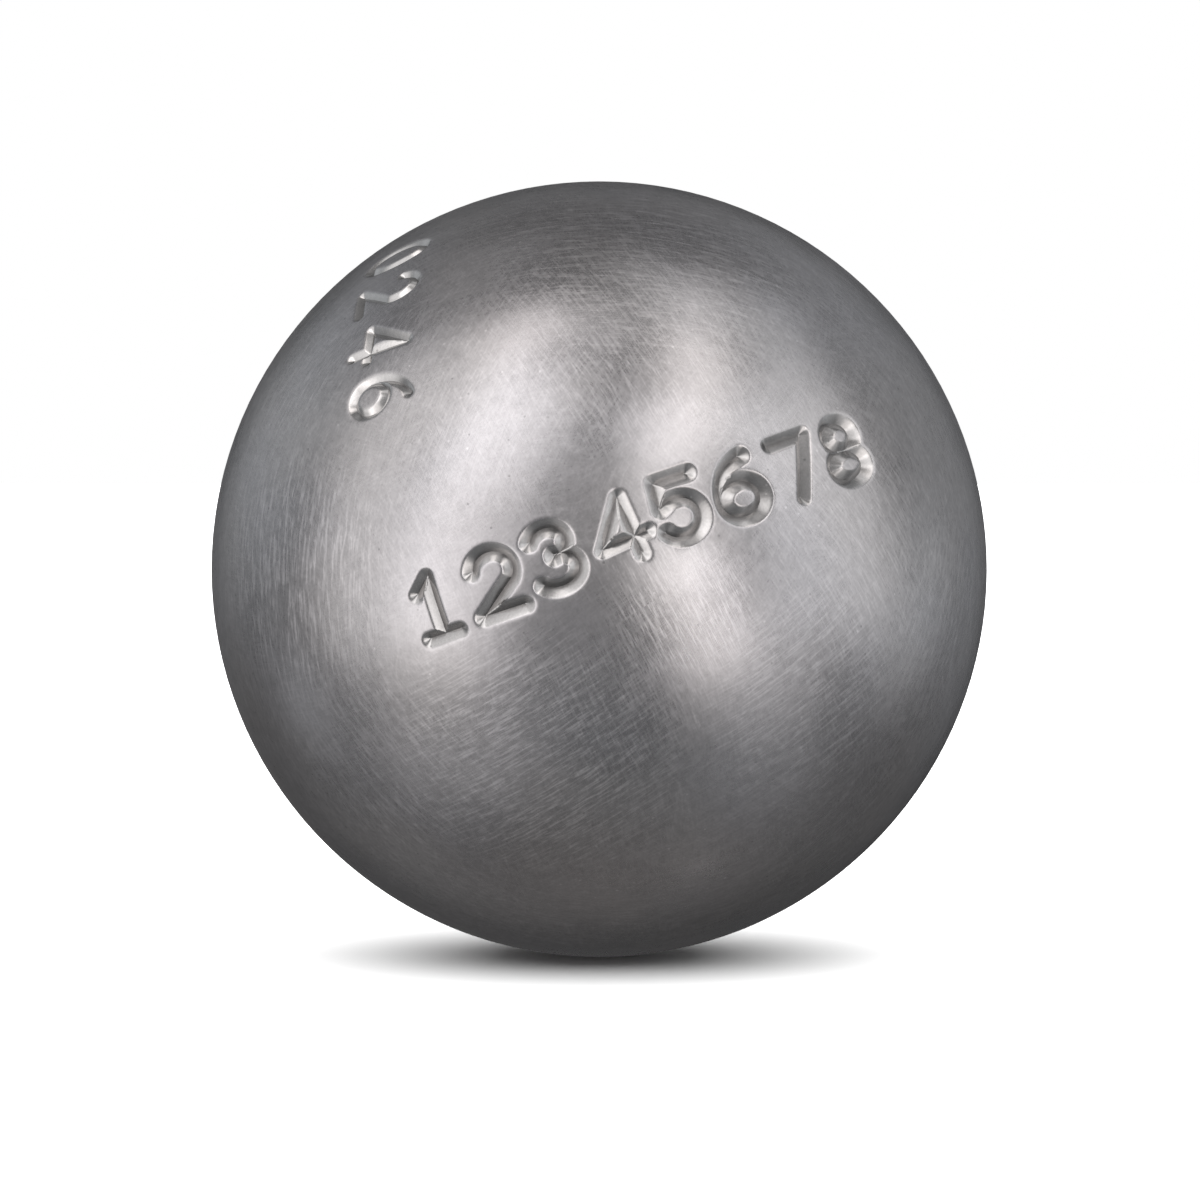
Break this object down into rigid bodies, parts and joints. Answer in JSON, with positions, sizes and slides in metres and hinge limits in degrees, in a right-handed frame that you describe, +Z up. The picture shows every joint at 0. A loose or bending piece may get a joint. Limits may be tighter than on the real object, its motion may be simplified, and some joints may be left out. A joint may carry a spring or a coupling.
{
  "type": "petanque boule",
  "caption": "Hollow steel throwing ball for petanque: pressed domes joined by a ring weld that is turned flush with the surface.",
  "frame": {"origin": "centre of the ball", "axes": "+Z up as the ball lies in the picture, -Y is the front, and the Y axis runs through the middle of both half shells, square to the plane of the ring weld"},
  "size_m": [0.065, 0.065, 0.065],
  "materials": {
    "ball_steel": "satin",
    "cap_weld": "satin",
    "root_weld": "matte"
  },
  "bodies": {
    "root": {"front_half_shell": "ball_steel", "rear_half_shell": "ball_steel", "root_weld_bead": "root_weld", "cap_weld_bead": "cap_weld"}
  },
  "joints": []
}
